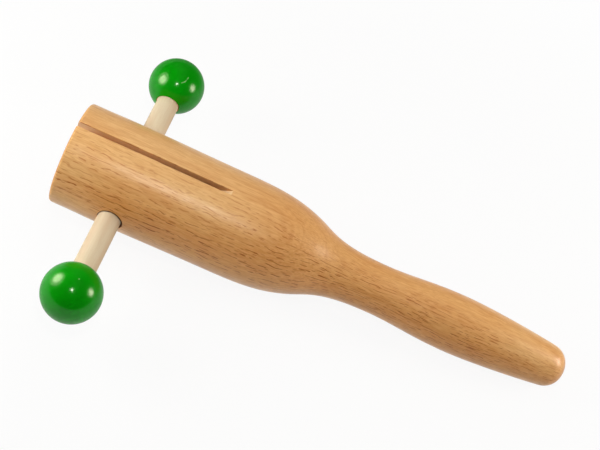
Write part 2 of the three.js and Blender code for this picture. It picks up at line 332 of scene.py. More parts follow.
# The lamps, round and soft. Each holds its name, its place, what it faces, its width, its power, its colour
# and what it is for: matte light, gloss, or the gloss of the dowel and the balls alone.
FILL_TARGET = (0, 0, 0.02)
CREAM = (1.0, 0.96, 0.88)
WARM_LIGHT = (1.0, 0.82, 0.70)
COOL_SIDE = (0.95, 0.96, 0.90)
WARM_SIDE = (1.0, 0.93, 0.83)
LAMPS = (
    ("top_lamp", (-0.070, -0.150, 0.46), axle_middle, 0.06, 0.52, CREAM, "matte"),
    ("top_gloss", (-0.083, -0.168, 0.44), axle_middle, 0.065, 0.62, CREAM, "gloss"),
    ("left_lamp", (-0.300, -0.035, 0.125), axle_middle, 0.14, 0.42, COOL_SIDE, "matte"),
    ("left_gloss", (-0.284, -0.005, 0.117), axle_middle, 0.115, 0.52, WARM_LIGHT, "axle gloss"),
    ("left_halo", (-0.295, -0.005, 0.1215), axle_middle, 0.20, 0.50, WARM_LIGHT, "axle gloss"),
    ("right_halo", (0.327, 0.073, 0.2067), axle_middle, 0.25, 0.80, WARM_LIGHT, "axle gloss"),
    ("right_lamp", (0.340, 0.076, 0.215), axle_middle, 0.19, 0.66, WARM_SIDE, "matte"),
    ("right_gloss", (0.318, 0.071, 0.201), axle_middle, 0.15, 0.95, WARM_LIGHT, "gloss"),
    ("back_fill", (-0.14, 0.32, 0.28), FILL_TARGET, 0.30, 0.40, CREAM, "matte"),
    ("over_fill", (-0.02, 0.13, 0.58), FILL_TARGET, 0.40, 0.56, CREAM, "matte"),
)

# The camera stands where the photograph was taken from.
CAMERA_AZIMUTH = math.radians(-8.66)
CAMERA_ELEVATION = math.radians(56.79)
CAMERA_ROLL = math.radians(31.51)
CAMERA_DISTANCE = 478.1 * MM
CAMERA_LENS = 66.79
SENSOR_WIDTH = 36.0
AIM_FROM_MOUTH = 100 * MM
AIM_RIGHT = 5.7 * MM
AIM_UP = 10.09 * MM


# Meshes.


def new_object(name, data):
    """A new object in the scene."""
    made = bpy.data.objects.new(name, data)
    bpy.context.scene.collection.objects.link(made)
    return made


def mesh_object(name, verts, faces):
    """A new object with its faces turned outwards."""
    mesh = bpy.data.meshes.new(name)
    mesh.from_pydata([tuple(v) for v in verts], [], faces)
    made = bmesh.new()
    made.from_mesh(mesh)
    bmesh.ops.recalc_face_normals(made, faces=made.faces)
    made.to_mesh(mesh)
    made.free()
    return new_object(name, mesh)


def along_x(point):
    """A point (along, across, up) of something whose length lies along X."""
    return Vector(point)


def along_y(point):
    """The same point where the length lies along Y."""
    along, across, up = point
    return Vector((across, along, up))


def lathe(name, outline, sides, centre, lay):
    """A closed body of revolution. outline is a list of (along, radius) that starts and ends on the axis."""
    verts, rings = [], []
    for along, radius in outline:
        if radius < NUDGE:
            rings.append([len(verts)] * sides)
            verts.append(lay((along, 0, 0)) + centre)
            continue
        rings.append(list(range(len(verts), len(verts) + sides)))
        for side in range(sides):
            turn = 2 * math.pi * side / sides
            verts.append(lay((along, radius * math.sin(turn), radius * math.cos(turn))) + centre)
    faces = []
    for first, second in zip(rings, rings[1:]):
        for side in range(sides):
            after = (side + 1) % sides
            face = list(dict.fromkeys([first[side], first[after], second[after], second[side]]))
            if len(face) > 2:
                faces.append(face)
    return mesh_object(name, verts, faces)


def loft(name, rings):
    """A closed body through rings that all have the same number of points, with a cap on each end."""
    count = len(rings[0])
    verts = [point for ring in rings for point in ring]
    faces = [list(range(count)), list(range(len(verts) - count, len(verts)))]
    for step in range(len(rings) - 1):
        low, high = step * count, (step + 1) * count
        for at in range(count):
            after = (at + 1) % count
            faces.append([low + at, low + after, high + after, high + at])
    return mesh_object(name, verts, faces)


def modify(piece, kind, **settings):
    """Runs one modifier on the piece and keeps the mesh that it makes."""
    change = piece.modifiers.new("change", kind)
    for key, value in settings.items():
        setattr(change, key, value)
    graph = bpy.context.evaluated_depsgraph_get()
    made = bpy.data.meshes.new_from_object(piece.evaluated_get(graph))
    piece.modifiers.clear()
    piece.data = made


def cut(piece, cutters):
    """Cuts each cutter out of the piece and removes it."""
    for cutter in cutters:
        modify(piece, "BOOLEAN", object=cutter, operation="DIFFERENCE", solver="EXACT")
        bpy.data.objects.remove(cutter)


def smooth(piece):
    """Smooth shading that keeps the sharp edges."""
    for polygon in piece.data.polygons:
        polygon.use_smooth = True
    piece.data.set_sharp_from_angle(angle=SHARP_ANGLE)


def eased_copy(name, node, width):
    """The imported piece's shape with its flats joined and its edges rounded, as sanded or cut wood is."""
    made = bmesh.new()
    made.from_mesh(frame["nodes"][node].data)
    bmesh.ops.remove_doubles(made, verts=made.verts, dist=NUDGE)
    bmesh.ops.dissolve_limit(made, angle_limit=FLAT_ANGLE, verts=made.verts, edges=made.edges)
    mesh = bpy.data.meshes.new(name)
    made.to_mesh(mesh)
    made.free()
    piece = new_object(name, mesh)
    rounding = {"segments": EASED_SEGMENTS, "limit_method": "ANGLE", "angle_limit": SHARP_ANGLE}
    modify(piece, "BEVEL", width=width, **rounding)
    smooth(piece)
    return piece


def dress(piece, material, body, node):
    """Gives the piece its material and body, and hides the imported node that it stands for."""
    piece.data.materials.clear()
    piece.data.materials.append(material)
    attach(piece, body)
    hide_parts(node)


# The outline of the turned body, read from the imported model.


def meridian():
    """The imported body's outline as (place, radius) points, under the axis, where no cut crosses it."""
    points = set()
    for vertex in frame["nodes"]["turned_body"].data.vertices:
        if abs(vertex.co.y - axis_y) < NUDGE and vertex.co.z < axis_z + NUDGE:
            points.add((round(vertex.co.x, DIGITS), round(axis_z - vertex.co.z, DIGITS)))
    return sorted(points)


def smooth_through(points, step):
    """Points about a step apart on the natural cubic curve through the given ones."""
    given = np.array(points, float)
    chords = np.sqrt(np.hypot(*np.diff(given, axis=0).T))
    knots = np.concatenate([[0], np.cumsum(chords)])
    count = len(knots)
    gaps = np.diff(knots)
    slopes = np.diff(given, axis=0) / gaps[:, None]
    system = np.eye(count)
    right = np.zeros((count, 2))
    for at in range(1, count - 1):
        system[at, at - 1 : at + 2] = gaps[at - 1], 2 * (gaps[at - 1] + gaps[at]), gaps[at]
        right[at] = 6 * (slopes[at] - slopes[at - 1])
    bends = np.linalg.solve(system, right)
    made = [given[0]]
    for at in range(count - 1):
        pieces = max(2, round(float(np.hypot(*(given[at + 1] - given[at]))) / step))
        for part in range(1, pieces + 1):
            t = part / pieces
            u = 1 - t
            lift = (u**3 - u) * bends[at] + (t**3 - t) * bends[at + 1]
            made.append(u * given[at] + t * given[at + 1] + lift * gaps[at] ** 2 / 6)
    return [tuple(float(v) for v in point) for point in made]


def body_outlines():
    """The bore's outline from bottom to mouth, its radius, and the outer points from mouth to tip."""
    points = meridian()
    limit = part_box("tongue_block")[1].x + BORE_LOOK
    inside = [p for p in points if axle_x < p[0] < limit and p[1] < BORE_SHARE * body_radius]
    radius = max(p[1] for p in inside)
    bore = [p for p in points if p[0] < limit and NUDGE < p[1] < radius + BORE_LOOK]
    bore.sort(reverse=True)
    bore.insert(0, (bore[0][0], 0.0))
    outer = [p for p in points if p[1] > NUDGE and (p[0] > limit or p[1] > radius + BORE_LOOK)]
    return bore, bore[1][1], [(x, r * ROUND_SHARE) for x, r in outer]


bore_outline, bore_radius, outer_points = body_outlines()
outer_outline = smooth_through(outer_points, BODY_STEP)


def body_radius_at(x):
    """The outer radius of the turned body at a place."""
    places, radii = zip(*outer_outline)
    return float(np.interp(x, places, radii))


def surface_height(x, y):
    """How far over the axis the upper surface of the head is, at a place across the slot."""
    return math.sqrt(body_radius_at(x) ** 2 - y**2)


# Cutters for the head.


def saw_cutter():
    """What the saw disc takes out: the sound slot with its run-out."""
    head_radius = body_radius_at(mouth_x + SLOT_LENGTH)
    top = head_radius + SAW_OVERRUN
    floor = head_radius - SAW_DEPTH
    disc_z = floor + SAW_RADIUS
    disc_x = mouth_x + SLOT_LENGTH - math.sqrt(SAW_RADIUS**2 - (SAW_RADIUS - SAW_DEPTH) ** 2)
    sweep = math.asin((top - disc_z) / SAW_RADIUS) + math.pi / 2
    outline = [(mouth_x - SAW_OVERRUN, top), (mouth_x - SAW_OVERRUN, floor)]
    for step in range(SAW_STEPS + 1):
        turn = sweep * step / SAW_STEPS - math.pi / 2
        outline.append((disc_x + SAW_RADIUS * math.cos(turn), disc_z + SAW_RADIUS * math.sin(turn)))
    sides = (axis_y - SLOT_WIDTH / 2, axis_y + SLOT_WIDTH / 2)
    return loft("saw", [[Vector((x, y, axis_z + z)) for x, z in outline] for y in sides])


def edge_offsets():
    """Steps over a quarter round that eases an edge: (how far beside the cut, how far under the surface)."""
    for step in range(EDGE_STEPS + 1):
        turn = math.pi / 2 * step / EDGE_STEPS
        yield EASED_EDGE * (1 - math.cos(turn)), EASED_EDGE * (1 - math.sin(turn))


def eased_side(start):
    """The quarter round that starts so far beside a cut's middle, with a last point clear of the surface."""
    side = [(start + beside, under) for beside, under in edge_offsets()]
    side.append((side[-1][0] + EASED_EDGE, -EASED_EDGE))
    return side


def slot_edge_cutter():
    """A shallow trough along the slot that rounds its two long edges."""
    start = mouth_x - EDGE_OVERRUN
    end = mouth_x + SLOT_LENGTH - EASED_EDGE
    rings = []
    for step in range(SAW_STEPS + 1):
        x = start + (end - start) * step / SAW_STEPS
        level_x = max(x, mouth_x + RIM_LENGTH)
        half = []
        for beside, under in eased_side(SLOT_WIDTH / 2):
            half.append(Vector((x, axis_y + beside, axis_z + surface_height(level_x, beside) - under)))
        other = [Vector((x, 2 * axis_y - p.y, p.z)) for p in reversed(half)]
        rings.append(half + other)
    return loft("slot_edge", rings)


def axle_hole_cutter(side):
    """The hole for the axle through one wall, with its outer edge eased along the round of the head."""
    radius = axle_radius + AXLE_CLEARANCE
    hole_x, hole_z = axle_x + AXLE_PUSH, axle_z + AXLE_SAG
    turns = [2 * math.pi * at / HOLE_SIDES for at in range(HOLE_SIDES)]
    rings = [[Vector((hole_x + radius * math.cos(t), axis_y, hole_z + radius * math.sin(t))) for t in turns]]
    for wide, under in eased_side(radius):
        ring = []
        for turn in turns:
            x, z = hole_x + wide * math.cos(turn), hole_z + wide * math.sin(turn)
            out = surface_height(x, z - axis_z) - under
            ring.append(Vector((x, axis_y + side * out, z)))
        rings.append(ring)

    # The last ring is flat and clear of the round head, so that the cutter's end leaves no film of wood.
    clear_y = axis_y + side * (body_radius + EDGE_OVERRUN)
    rings.append([Vector((p.x, clear_y, p.z)) for p in rings[-1]])
    return loft("axle_hole", rings)


# The turned pieces.


def in_steps(points):
    """The same outline with its long straight runs cut into steps."""
    made = [points[0]]
    for first, second in zip(points, points[1:]):
        pieces = max(1, round(math.dist(first, second) / LONG_STEP))
        for part in range(1, pieces + 1):
            made.append(tuple(a + (b - a) * part / pieces for a, b in zip(first, second)))
    return made


def make_body():
    """The turned body: hollow head, neck and handle, with the slot and the axle's holes cut in it."""
    outline = in_steps(bore_outline) + outer_outline + [(outer_outline[-1][0], 0.0)]
    body = lathe("beech_body", outline, BODY_SIDES, body_middle, along_x)
    cut(body, [saw_cutter(), slot_edge_cutter(), axle_hole_cutter(-1), axle_hole_cutter(1)])
    smooth(body)
    return body


def make_ball(name, side):
    """A ball with a blind hole for the axle. side is 1 for the far ball and -1 for the near one."""
    hole = axle_radius + BALL_HOLE_CLEARANCE
    start = math.asin((hole + BALL_HOLE_LIP) / ball_radius)
    bottom = ball_radius - BALL_HOLE_DEPTH
    wall_end = math.cos(start) * ball_radius - BALL_HOLE_LIP
    outline = [(bottom, 0.0), (bottom, hole), (wall_end, hole)]
    for step in range(1, EDGE_STEPS + 1):
        turn = math.pi / 2 * step / EDGE_STEPS
        outwards, wider = BALL_HOLE_LIP * math.sin(turn), BALL_HOLE_LIP * (1 - math.cos(turn))
        outline.append((wall_end + outwards, hole + wider))
    for ring in range(1, BALL_RINGS):
        turn = start + (math.pi - start) * ring / BALL_RINGS
        outline.append((ball_radius * math.cos(turn), ball_radius * math.sin(turn)))
    outline.append((-ball_radius, 0.0))
    outline = [(-side * along, radius) for along, radius in outline]
    centre = axle_middle + Vector((0, side * ball_reach, 0))
    ball = lathe(name, outline, BALL_SIDES, centre, along_y)
    smooth(ball)
    return ball


def make_axle():
    """The dowel, with its ends chamfered as a cut dowel's are."""
    shoulder = axle_half - DOWEL_CHAMFER
    half = [(shoulder, axle_radius), (axle_half, axle_radius - DOWEL_CHAMFER), (axle_half, 0.0)]
    outline = [(-along, radius) for along, radius in reversed(half)] + half
    axle = lathe("dowel_axle", in_steps(outline), DOWEL_SIDES, axle_middle, along_y)
    smooth(axle)
    return axle


# Nodes that the materials are made of.


def linear(colour):
    """A colour as a picture shows it, from 0 to 255, turned to the linear numbers that a shader takes."""
    shares = [c / 255 for c in colour]
    return [c / 12.92 if c <= 0.04045 else ((c + 0.055) / 1.055) ** 2.4 for c in shares] + [1.0]


class Nodes:
    """Builds the nodes of one material or world."""

    def __init__(self, owner):
        """The owner is the name of a new material, or a world."""
        self.owner = bpy.data.materials.new(owner) if isinstance(owner, str) else owner
        self.owner.use_nodes = True
        self.tree = self.owner.node_tree
        self.tree.nodes.clear()

    def wire(self, socket, value):
        """Links a socket to another, or sets its value."""
        if isinstance(value, bpy.types.NodeSocket):
            self.tree.links.new(value, socket)
        else:
            socket.default_value = value

    def add(self, kind, inputs=None, **settings):
        """A node of a kind, with settings and with inputs by name or number."""
        made = self.tree.nodes.new("ShaderNode" + kind)
        for key, value in settings.items():
            setattr(made, key, value)
        for key, value in (inputs or {}).items():
            self.wire(made.inputs[key], value)
        return made

    def maths(self, operation, first, second=0.0):
        """One sum on numbers."""
        return self.add("Math", {0: first, 1: second}, operation=operation).outputs[0]

    def fold(self, operation, numbers):
        """The same sum on one number after another."""
        total = numbers[0]
        for number in numbers[1:]:
            total = self.maths(operation, total, number)
        return total

    def times(self, *numbers):
        """All the numbers multiplied."""
        return self.fold("MULTIPLY", numbers)

    def plus(self, *numbers):
        """All the numbers added."""
        return self.fold("ADD", numbers)

    def most(self, *numbers):
        """The largest of the numbers."""
        return self.fold("MAXIMUM", numbers)

    def vector(self, operation, first, second=(0, 0, 0)):
        """One sum on vectors."""
        made = self.add("VectorMath", {0: first, 1: second}, operation=operation)
        return made.outputs[1] if operation in ("LENGTH", "DOT_PRODUCT", "DISTANCE") else made.outputs[0]

    def parts(self, vector):
        """The three numbers of a vector."""
        return self.add("SeparateXYZ", {"Vector": vector}).outputs

    def join(self, x, y, z):
        """A vector of three numbers."""
        return self.add("CombineXYZ", {0: x, 1: y, 2: z}).outputs[0]

    def noise(self, place, scale, detail, roughness=0.5):
        """A noise from 0 to 1, about 0.5."""
        inputs = {"Vector": place, "Scale": scale, "Detail": detail, "Roughness": roughness}
        return self.add("TexNoise", inputs).outputs["Fac"]

    def ramp(self, value, low, high, to_low=0.0, to_high=1.0, kind="SMOOTHSTEP"):
        """Maps a number from one range to another, and holds it there."""
        inputs = {"Value": value, "From Min": low, "From Max": high, "To Min": to_low, "To Max": to_high}
        return self.add("MapRange", inputs, interpolation_type=kind).outputs["Result"]

    def outside(self, value, edge, fade):
        """1 outside an edge and 0 inside it. fade is how far outside the edge the change starts and ends."""
        return self.ramp(value, edge + fade[0], edge + fade[1])

    def inside(self, value, edge, fade):
        """1 inside an edge and 0 outside it, with the same fade."""
        return self.ramp(value, edge + fade[0], edge + fade[1], 1.0, 0.0)

    def mix(self, share, first, second):
        """Mixes two colours, each another node's or one as a picture shows it."""
        made = self.add("Mix", data_type="RGBA", clamp_factor=True)
        self.wire(made.inputs[0], share)
        for socket, colour in ((6, first), (7, second)):
            self.wire(made.inputs[socket], linear(colour) if isinstance(colour, tuple) else colour)
        return made.outputs[2]

    def object_place(self):
        """Where a point is on the object at rest, in metres."""
        return self.add("TexCoord").outputs["Object"]

    def finish(self, inputs, height, depth):
        """Ends in a shader with these inputs, and a bump of a depth."""
        shader = self.add("BsdfPrincipled", inputs)
        bump = self.add("Bump", {"Height": height, "Strength": 1.0, "Distance": depth})
        self.wire(shader.inputs["Normal"], bump.outputs["Normal"])
        self.add("OutputMaterial", {"Surface": shader.outputs["BSDF"]})
        return self.owner


# What all the woods share.


def grain_place(nodes, centre, turns):
    """A point in the wood's own directions: X along the grain, Y across it, Z out through the rings."""
    moved = nodes.vector("SUBTRACT", nodes.object_place(), centre)
    return nodes.add("Mapping", {"Vector": moved, "Rotation": turns}).outputs["Vector"]


def stretched(nodes, place, lengths):
    """The same point in units of a length along the grain, across it and through the rings."""
    return nodes.vector("MULTIPLY", place, [1 / length for length in lengths])


def grain_noise(nodes, place, figure):
    """A noise from 0 to 1 whose spots are stretched along the grain."""
    *lengths, detail, roughness = figure
    return nodes.noise(stretched(nodes, place, lengths), 1.0, detail, roughness)


def wander(nodes, place, figure, reach):
    """A length to either side of zero that changes slowly over the wood."""
    return nodes.times(nodes.maths("SUBTRACT", grain_noise(nodes, place, figure), 0.5), reach)


def flecks(nodes, place, figure):
    """Short dashes of a random strength each, one or none in each cell."""
    *lengths, reach, commonness = figure
    cells = {"Vector": stretched(nodes, place, lengths), "Scale": 1.0, "Randomness": 1.0}
    spot = nodes.add("TexVoronoi", cells).outputs
    shape = nodes.ramp(spot["Distance"], FLECK_CORE_SHARE * reach, reach, 1.0, 0.0)
    chance = nodes.add("SeparateColor", {"Color": spot["Color"]}).outputs[0]
    full = 1.0 - FLECK_FULL_SHARE * commonness
    return nodes.times(shape, nodes.ramp(chance, 1.0 - commonness, full, kind="LINEAR"))


# Varnished beech.


def facing(nodes, normal, lean):
    """How far a surface faces a way that leans from Z towards -Y, from -1 to 1."""
    return nodes.vector("DOT_PRODUCT", normal, (0.0, -math.sin(lean), math.cos(lean)))


def turned_place(nodes):
    """A point in directions that follow the turned surface, so that what is drawn in them lies along it."""
    place = nodes.vector("SUBTRACT", nodes.object_place(), body_middle)
    along = nodes.parts(place)[0]
    outwards = nodes.vector("NORMALIZE", nodes.vector("MULTIPLY", place, (0, 1, 1)))
    narrow = NARROW_SHARE * body_radius
    radius = nodes.ramp(along, mouth_x + WIDE_END, mouth_x + NARROW_START, body_radius, narrow, "LINEAR")
    ring = nodes.vector("MULTIPLY", outwards, nodes.join(0.0, radius, radius))
    return nodes.vector("ADD", ring, nodes.join(along, 0.0, 0.0))


def ray_rows(nodes, turned):
    """Thin dashes that follow one another in wavy rows along the turned surface."""
    _, across, up = nodes.parts(turned)
    slow = nodes.times(grain_noise(nodes, turned, SLOW_WAVE), SLOW_WAVE_ROWS)
    quick = nodes.times(grain_noise(nodes, turned, QUICK_WAVE), QUICK_WAVE_ROWS)
    straight = nodes.times(nodes.maths("ARCTAN2", across, up), RAY_ROWS / (2 * math.pi))
    rows = nodes.plus(straight, nodes.plus(slow, quick))
    beside = nodes.maths("ABSOLUTE", nodes.maths("SUBTRACT", nodes.maths("FRACT", rows), 0.5))
    breaks = nodes.ramp(grain_noise(nodes, turned, ROW_BREAK), *ROW_BREAK_SHARES)
    return nodes.times(nodes.ramp(beside, *ROW_LINE_SHARES), breaks)


def rays(nodes, sway, normal):
    """Dashes where rays reach the surface, in crowds, and clearest on two opposite sides of the wood."""
    turned = turned_place(nodes)
    bowed = nodes.vector("ADD", turned, sway)
    long_flecks = nodes.times(flecks(nodes, bowed, LONG_FLECK_SHARES), LONG_FLECK_SHARE)
    tiny_flecks = nodes.times(flecks(nodes, bowed, TINY_FLECK_SHARES), TINY_FLECK_SHARE)
    dashes = nodes.most(long_flecks, ray_rows(nodes, turned), tiny_flecks)
    crowd = nodes.ramp(grain_noise(nodes, turned, CROWD), *CROWD_SHARES)
    side = nodes.maths("ABSOLUTE", facing(nodes, normal, RAY_LEAN))
    return nodes.times(dashes, nodes.times(crowd, nodes.ramp(side, *CLEAR_SHARES)))


def growth_rings(nodes, place):
    """Thin darker lines where each year's growth ends, around a pith that lies under the piece."""
    slow = wander(nodes, place, SLOW_WANDER, SLOW_WANDER_REACH)
    quick = wander(nodes, place, QUICK_WANDER, QUICK_WANDER_REACH)
    from_pith = nodes.vector("MULTIPLY", nodes.vector("ADD", place, (0, 0, PITH_DEPTH)), (0, 1, 1))
    radius = nodes.plus(nodes.vector("LENGTH", from_pith), nodes.plus(slow, quick))
    years = nodes.maths("DIVIDE", radius, RING_SPACING)
    uneven = nodes.noise(nodes.join(years, 0.0, 0.0), *UNEVEN)
    phase = nodes.maths("FRACT", nodes.plus(years, nodes.times(uneven, UNEVEN_RINGS)))
    line = nodes.plus(nodes.ramp(phase, *YEAR_RISE_SHARES), nodes.ramp(phase, *YEAR_LINE_SHARES))
    return nodes.times(line, nodes.ramp(phase, *YEAR_FALL_SHARES))


def painted_paleness(nodes, normal, from_mouth, from_tip):
    """Painted light, from 0 to 1: most on top and near both ends, as a painted reflection at the mouth and a
    painted highlight at the tip, and a little on the low side, as light from the floor.
    """
    upper = nodes.ramp(facing(nodes, normal, PAINTED_LIGHT_LEAN), *PAINTED_UPPER_LIGHT_SHARES)
    low = nodes.ramp(facing(nodes, normal, FLOOR_LIGHT_LEAN), *PAINTED_FLOOR_LIGHT_SHARES)
    head = nodes.ramp(from_mouth, *PAINTED_HEAD_LIGHT_SHARES)
    mouth = nodes.ramp(from_mouth, *PAINTED_MOUTH_REFLECTION_SHARES)
    tip = nodes.ramp(from_tip, *PAINTED_TIP_HIGHLIGHT_SHARES)
    sides = nodes.plus(nodes.times(upper, nodes.plus(head, tip)), low)
    ends = nodes.plus(mouth, nodes.times(tip, TIP_HIGHLIGHT_ALL_ROUND_SHARE))
    return nodes.maths("MINIMUM", nodes.plus(sides, ends), 1.0)


def cut_faces(nodes):
    """Four numbers: 1 in the bore, the slot, the slot's run-out and the axle's holes, and 0 elsewhere. Light
    is painted on the run-out and shade in the holes.
    """
    place = nodes.vector("SUBTRACT", nodes.object_place(), body_middle)
    along, beside, up = nodes.parts(place)
    across = nodes.maths("ABSOLUTE", beside)
    upper = nodes.maths("GREATER_THAN", up, 0.0)
    from_axis = nodes.vector("LENGTH", nodes.vector("MULTIPLY", place, (0, 1, 1)))

    bored = nodes.times(
        nodes.inside(from_axis, BORE_SHARE * body_radius, BORE_FADE),
        nodes.maths("LESS_THAN", along, bore_outline[0][0] + EASED_EDGE),
    )
    slot_end = mouth_x + SLOT_LENGTH
    sawn = nodes.times(
        nodes.inside(across, SLOT_WIDTH / 2, SLOT_FADE),
        nodes.inside(from_axis, body_radius, SKIN_FADE),
        upper,
        nodes.inside(along, slot_end, SLOT_END_FADE),
    )
    # The run-out at the slot's end, which is painted light.
    run_out_light = nodes.times(
        nodes.inside(across, SLOT_WIDTH / 2, RUN_OUT_FADE),
        upper,
        nodes.outside(from_axis, bore_radius, RUN_OUT_FOOT_FADE),
        nodes.inside(along, slot_end, RUN_OUT_END_FADE),
    )
    # The axle's holes, which are painted dark as shade.
    hole_middle = (axle_x + AXLE_PUSH, 0, AXLE_SAG)
    from_hole = nodes.vector("MULTIPLY", nodes.vector("SUBTRACT", place, hole_middle), (1, 0, 1))
    from_hole = nodes.vector("LENGTH", from_hole)
    hole_shade = nodes.inside(from_hole, axle_radius + AXLE_CLEARANCE, HOLE_FADE)
    return bored, sawn, run_out_light, hole_shade


def varnished_beech():
    """Turned beech under satin varnish, nearly bare in the bore and the slot, with light and shade painted
    into its colour.
    """
    nodes = Nodes("varnished_beech")
    normal = nodes.add("NewGeometry").outputs["Normal"]
    faces_x = nodes.parts(normal)[0]
    along = nodes.parts(nodes.object_place())[0]
    from_mouth = nodes.maths("SUBTRACT", along, mouth_x)
    from_tip = nodes.maths("SUBTRACT", tip_x, along)

    # The figure: fibre and streaks that sway together, rays, growth rings and slow changes of tone.
    place = grain_place(nodes, body_middle, (-RING_LEAN, 0.0, 0.0))
    bend = wander(nodes, place, BEND, BEND_REACH)
    sway = nodes.join(0.0, bend, bend)
    swayed = nodes.vector("ADD", place, sway)
    drift = nodes.ramp(grain_noise(nodes, place, DRIFT), *DRIFT_SHARES)
    streak = grain_noise(nodes, swayed, STREAK)
    fibre = grain_noise(nodes, swayed, FIBRE)
    dashes = rays(nodes, sway, normal)
    # pale is painted light, which lightens the colour on the sides that face the lamps and the floor, and
    # near the ends.
    pale = painted_paleness(nodes, normal, from_mouth, from_tip)
    colour = nodes.mix(drift, nodes.mix(pale, WARM, WARM_PAINTED_LIT), nodes.mix(pale, DEEP, DEEP_PAINTED_LIT))
    faint_dashes = nodes.times(dashes, nodes.ramp(pale, *FAINT_UNDER_PAINTED_LIGHT_SHARES))
    figure = (
        (nodes.ramp(streak, *STREAK_SHARES), STREAK_COLOUR),
        (nodes.ramp(fibre, *DARK_FIBRE_SHARES), DARK_FIBRE),
        (nodes.ramp(fibre, *LIGHT_FIBRE_SHARES), LIGHT_FIBRE),
        (nodes.times(growth_rings(nodes, place), YEAR_SHARE), YEAR_LINE),
        (faint_dashes, nodes.mix(pale, RAY, RAY_PAINTED_LIT)),
    )

    # End grain drinks more varnish, and the bore and the slot are nearly bare. The slot is painted lighter
    # near its mouth as light and darker towards its end as shade, its run-out is painted light, and the
    # axle's holes are painted dark as shade.
    bored, sawn, run_out_light, hole_shade = cut_faces(nodes)
    raw = nodes.most(bored, sawn)
    end_grain = nodes.ramp(nodes.maths("ABSOLUTE", faces_x), *END_GRAIN_SHARES)
    # Painted shade towards the slot's end, and painted light near its mouth.
    bare = nodes.mix(nodes.ramp(from_mouth, *SLOT_PAINTED_SHADE_SHARES), SAWN, SAWN_PAINTED_SHADE)
    bare = nodes.mix(nodes.ramp(from_mouth, *SLOT_PAINTED_LIGHT_SHARES), SAWN_PAINTED_LIT, bare)
    bare = nodes.mix(bored, bare, BORED)
    cuts = (
        (nodes.times(end_grain, END_GRAIN_SHARE), END_GRAIN),
        (nodes.times(raw, RAW_SHARE), bare),
        (nodes.times(hole_shade, HOLE_SHADE_SHARE), HOLE_PAINTED_SHADE),
        (nodes.times(run_out_light, RUN_OUT_LIGHT_SHARE), RUN_OUT_PAINTED_LIGHT),
    )
    for share, tint in figure + cuts:
        colour = nodes.mix(share, colour, tint)

    mouth_face = nodes.ramp(nodes.times(faces_x, -1.0), *MOUTH_FACE_SHARES)
    matte = nodes.times(nodes.most(raw, mouth_face, hole_shade), CUT_ROUGHNESS)
    inputs = {
        "Base Color": colour,
        "Roughness": nodes.most(nodes.ramp(fibre, *GLOSS_SHARES), matte),
        "Specular IOR Level": 0.34,
    }
    raised = nodes.times(fibre, FIBRE_RELIEF_SHARE)
    sunk = nodes.times(dashes, RAY_RELIEF_SHARE)
    relief = nodes.plus(nodes.maths("SUBTRACT", raised, sunk), nodes.times(streak, STREAK_RELIEF_SHARE))
    return nodes.finish(inputs, relief, BEECH_RELIEF)


# The other materials.


def pale_dowel():
    """Smooth bare birch, painted dark as shade where it runs in the walls of the head."""
    nodes = Nodes("pale_dowel")
    place = grain_place(nodes, axle_middle, (0.0, 0.0, -QUARTER_TURN))
    drift = nodes.ramp(grain_noise(nodes, place, DOWEL_DRIFT), *BIRCH_DRIFT_SHARES)
    fibre = grain_noise(nodes, place, DOWEL_FIBRE)
    colour = nodes.mix(drift, BIRCH, BIRCH_WARM)
    colour = nodes.mix(nodes.ramp(fibre, *BIRCH_FIBRE_SHARES), colour, BIRCH_FIBRE)
    across = nodes.maths("ABSOLUTE", nodes.maths("SUBTRACT", nodes.parts(nodes.object_place())[1], axis_y))
    # Painted shade on the dowel where it runs in each wall.
    in_wall_shade = nodes.times(
        nodes.inside(across, body_radius, SKIN_FADE),
        nodes.outside(across, bore_radius, DOWEL_SHADE_FADE),
    )
    colour = nodes.mix(nodes.times(in_wall_shade, DOWEL_SHADE_SHARE), colour, DOWEL_PAINTED_SHADE)
    inputs = {"Base Color": colour, "Roughness": 0.55, "Specular IOR Level": 0.2}
    return nodes.finish(inputs, fibre, BIRCH_RELIEF)


def scuff(nodes, place, side, start, end):
    """1 on a fine line in the lacquer and 0 beside it. place is counted from the middle of the axle."""
    ball_middle = Vector((0, side * ball_reach, 0))
    first, last = (ball_middle + Vector(way).normalized() * ball_radius for way in (start, end))
    line = last - first
    from_first = nodes.vector("SUBTRACT", place, first)
    share = nodes.maths("DIVIDE", nodes.vector("DOT_PRODUCT", from_first, line), line.length_squared)
    share = nodes.ramp(share, 0.0, 1.0, kind="LINEAR")
    on_line = nodes.vector("MULTIPLY", nodes.join(share, share, share), line)
    beside = nodes.vector("DISTANCE", from_first, on_line)
    return nodes.ramp(beside, SCUFF_CORE_SHARE * SCUFF_RADIUS, SCUFF_RADIUS, 1.0, 0.0)


